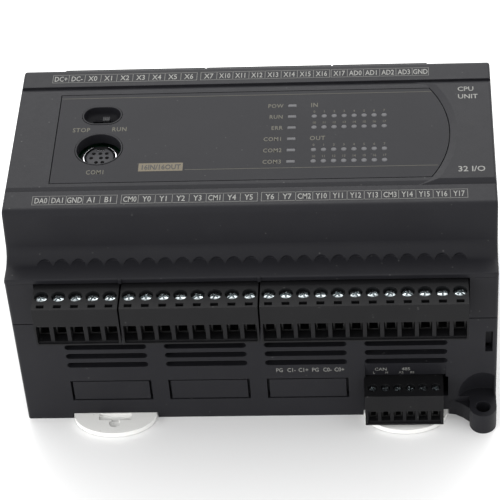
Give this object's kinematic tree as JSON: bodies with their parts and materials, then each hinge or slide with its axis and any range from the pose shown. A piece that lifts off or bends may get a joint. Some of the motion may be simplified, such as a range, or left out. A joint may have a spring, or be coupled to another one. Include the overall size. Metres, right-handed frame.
{
  "type": "programmable logic controller",
  "caption": "Compact programmable controller in a charcoal rail-mount case with pluggable screw terminals on both long edges and a printed indicator panel.",
  "frame": {"origin": "centre of the back plane, midway between the two terminal rows, at the level the module rests on", "axes": "+X along the width to the right, +Y towards the upper (input) terminal row, +Z out of the front panel"},
  "size_m": [0.146, 0.111, 0.0773],
  "materials": {
    "case_plastic": "fine moulded texture, charcoal black",
    "panel_plastic": "printed charcoal panel",
    "indicator_lens": "smoked translucent windows",
    "switch_plastic": "black slide switch",
    "port_shield": "bright plated shield",
    "port_insulator": "dark grey insulator",
    "contact_brass": "plated contacts",
    "circuit_board": "solder-masked laminate",
    "header_plastic": "moulded headers",
    "zinc_screw": "zinc plated",
    "component_black": "component bodies",
    "bright_steel": "coin cell",
    "led_chip": "indicator chips",
    "latch_plastic": "off-white latch",
    "plug_plastic": "black plug housings",
    "terminal_screw": "bluish zinc screws",
    "clamp_steel": "plated wire clamps"
  },
  "bodies": {
    "root": {"backup_battery": "bright_steel", "base_housing": "case_plastic", "board_link_connectors": "component_black", "board_screws": "zinc_screw", "board_spacers": "contact_brass", "capacitors": "component_black", "com_port_body": "switch_plastic", "com_port_contacts": "contact_brass", "com_port_insulator": "port_insulator", "com_port_shell": "port_shield", "cpu_board": "circuit_board", "front_panel": "panel_plastic", "header_comm": "header_plastic", "header_lower_a": "header_plastic", "header_lower_b": "header_plastic", "header_lower_c": "header_plastic", "header_pins_comm": "contact_brass", "header_pins_lower": "contact_brass", "header_pins_upper": "contact_brass", "header_upper_a": "header_plastic", "header_upper_b": "header_plastic", "header_upper_c": "header_plastic", "indicator_leds": "led_chip", "input_led_lenses": "indicator_lens", "io_board": "circuit_board", "middle_frame": "case_plastic", "optocouplers": "component_black", "output_led_lenses": "indicator_lens", "output_relays": "component_black", "port_blanks": "case_plastic", "power_board": "circuit_board", "power_transformer": "component_black", "processor": "component_black", "run_switch_body": "switch_plastic", "status_led_lenses": "indicator_lens", "top_cover": "case_plastic"},
    "run_switch_knob": {"run_switch_knob": "switch_plastic"},
    "din_latch_left": {"din_latch_left": "latch_plastic"},
    "din_latch_right": {"din_latch_right": "latch_plastic"},
    "plug_lower_a": {"plug_lower_a": "plug_plastic", "plug_lower_a_screws": "terminal_screw", "plug_lower_a_clamps": "clamp_steel"},
    "plug_lower_b": {"plug_lower_b": "plug_plastic", "plug_lower_b_screws": "terminal_screw", "plug_lower_b_clamps": "clamp_steel"},
    "plug_lower_c": {"plug_lower_c": "plug_plastic", "plug_lower_c_screws": "terminal_screw", "plug_lower_c_clamps": "clamp_steel"},
    "plug_upper_a": {"plug_upper_a": "plug_plastic", "plug_upper_a_screws": "terminal_screw", "plug_upper_a_clamps": "clamp_steel"},
    "plug_upper_b": {"plug_upper_b": "plug_plastic", "plug_upper_b_screws": "terminal_screw", "plug_upper_b_clamps": "clamp_steel"},
    "plug_upper_c": {"plug_upper_c": "plug_plastic", "plug_upper_c_screws": "terminal_screw", "plug_upper_c_clamps": "clamp_steel"},
    "plug_comm": {"plug_comm": "plug_plastic", "plug_comm_screws": "terminal_screw", "plug_comm_clamps": "clamp_steel"}
  },
  "joints": [
    {"name": "run_switch_slide", "type": "slide", "parent": "root", "child": "run_switch_knob", "axis": [1, 0, 0], "range_m": [-0.0022, 0]},
    {"name": "din_latch_left_slide", "type": "slide", "parent": "root", "child": "din_latch_left", "axis": [0, -1, 0], "range_m": [0, 0.004], "stiffness_N_per_m": 400, "springref_m": -0.001},
    {"name": "din_latch_right_slide", "type": "slide", "parent": "root", "child": "din_latch_right", "axis": [0, -1, 0], "range_m": [0, 0.004], "stiffness_N_per_m": 400, "springref_m": -0.001},
    {"name": "plug_lower_a_pull", "type": "slide", "parent": "root", "child": "plug_lower_a", "axis": [0, -1, 0], "range_m": [0, 0.012]},
    {"name": "plug_lower_b_pull", "type": "slide", "parent": "root", "child": "plug_lower_b", "axis": [0, -1, 0], "range_m": [0, 0.012]},
    {"name": "plug_lower_c_pull", "type": "slide", "parent": "root", "child": "plug_lower_c", "axis": [0, -1, 0], "range_m": [0, 0.012]},
    {"name": "plug_upper_a_pull", "type": "slide", "parent": "root", "child": "plug_upper_a", "axis": [0, 1, 0], "range_m": [0, 0.012]},
    {"name": "plug_upper_b_pull", "type": "slide", "parent": "root", "child": "plug_upper_b", "axis": [0, 1, 0], "range_m": [0, 0.012]},
    {"name": "plug_upper_c_pull", "type": "slide", "parent": "root", "child": "plug_upper_c", "axis": [0, 1, 0], "range_m": [0, 0.012]},
    {"name": "plug_comm_pull", "type": "slide", "parent": "root", "child": "plug_comm", "axis": [0, -1, 0], "range_m": [0, 0.011]}
  ]
}
